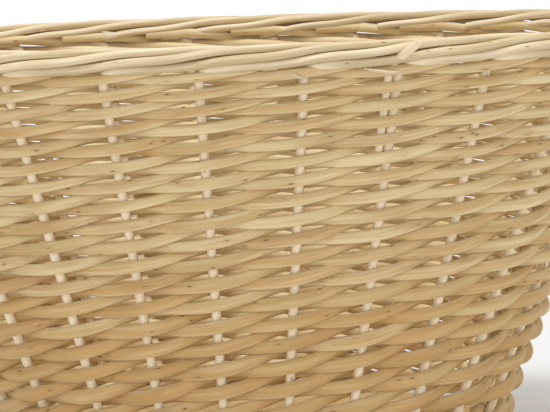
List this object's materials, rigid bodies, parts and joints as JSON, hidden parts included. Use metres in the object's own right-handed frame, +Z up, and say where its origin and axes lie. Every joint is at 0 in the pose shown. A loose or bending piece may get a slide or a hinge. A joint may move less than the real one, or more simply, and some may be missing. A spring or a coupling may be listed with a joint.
{
  "type": "laundry basket",
  "caption": "Oval open willow laundry basket with flared woven sides, a rolled border made of the stakes' own ends, a woven base and two bow handles.",
  "frame": {"origin": "on the floor under the middle of the base", "axes": "+Z up; +X along the basket's length, towards one handle; -Y faces the picture's camera"},
  "size_m": [0.548, 0.3918, 0.3471],
  "materials": {
    "stake_willow": "satin",
    "weaver_willow": "satin",
    "base_willow": "matte",
    "stick_willow": "matte",
    "handle_willow": "satin"
  },
  "bodies": {
    "root": {"base_weave": "base_willow", "base_stick_long_1": "stick_willow", "base_stick_long_2": "stick_willow", "base_stick_short_1": "stick_willow", "base_stick_short_2": "stick_willow", "base_stick_short_3": "stick_willow", "base_stick_short_4": "stick_willow", "base_stick_short_5": "stick_willow", "upset_rod_1": "weaver_willow", "upset_rod_2": "weaver_willow", "stake_01": "stake_willow", "stake_02": "stake_willow", "stake_03": "stake_willow", "stake_04": "stake_willow", "stake_05": "stake_willow", "stake_06": "stake_willow", "stake_07": "stake_willow", "stake_08": "stake_willow", "stake_09": "stake_willow", "stake_10": "stake_willow", "stake_11": "stake_willow", "stake_12": "stake_willow", "stake_13": "stake_willow", "stake_14": "stake_willow", "stake_15": "stake_willow", "stake_16": "stake_willow", "stake_17": "stake_willow", "stake_18": "stake_willow", "stake_19": "stake_willow", "stake_20": "stake_willow", "stake_21": "stake_willow", "stake_22": "stake_willow", "stake_23": "stake_willow", "stake_24": "stake_willow", "weaver_01": "weaver_willow", "weaver_02": "weaver_willow", "weaver_03": "weaver_willow", "weaver_04": "weaver_willow", "weaver_05": "weaver_willow", "weaver_06": "weaver_willow", "weaver_07": "weaver_willow", "weaver_08": "weaver_willow", "weaver_09": "weaver_willow", "weaver_10": "weaver_willow", "weaver_11": "weaver_willow", "weaver_12": "weaver_willow", "weaver_13": "weaver_willow", "weaver_14": "weaver_willow", "weaver_15": "weaver_willow", "weaver_16": "weaver_willow", "weaver_17": "weaver_willow", "weaver_18": "weaver_willow", "weaver_19": "weaver_willow", "weaver_20": "weaver_willow", "weaver_21": "weaver_willow", "weaver_22": "weaver_willow", "weaver_23": "weaver_willow", "weaver_24": "weaver_willow", "handle_left": "handle_willow", "handle_right": "handle_willow"}
  },
  "joints": []
}
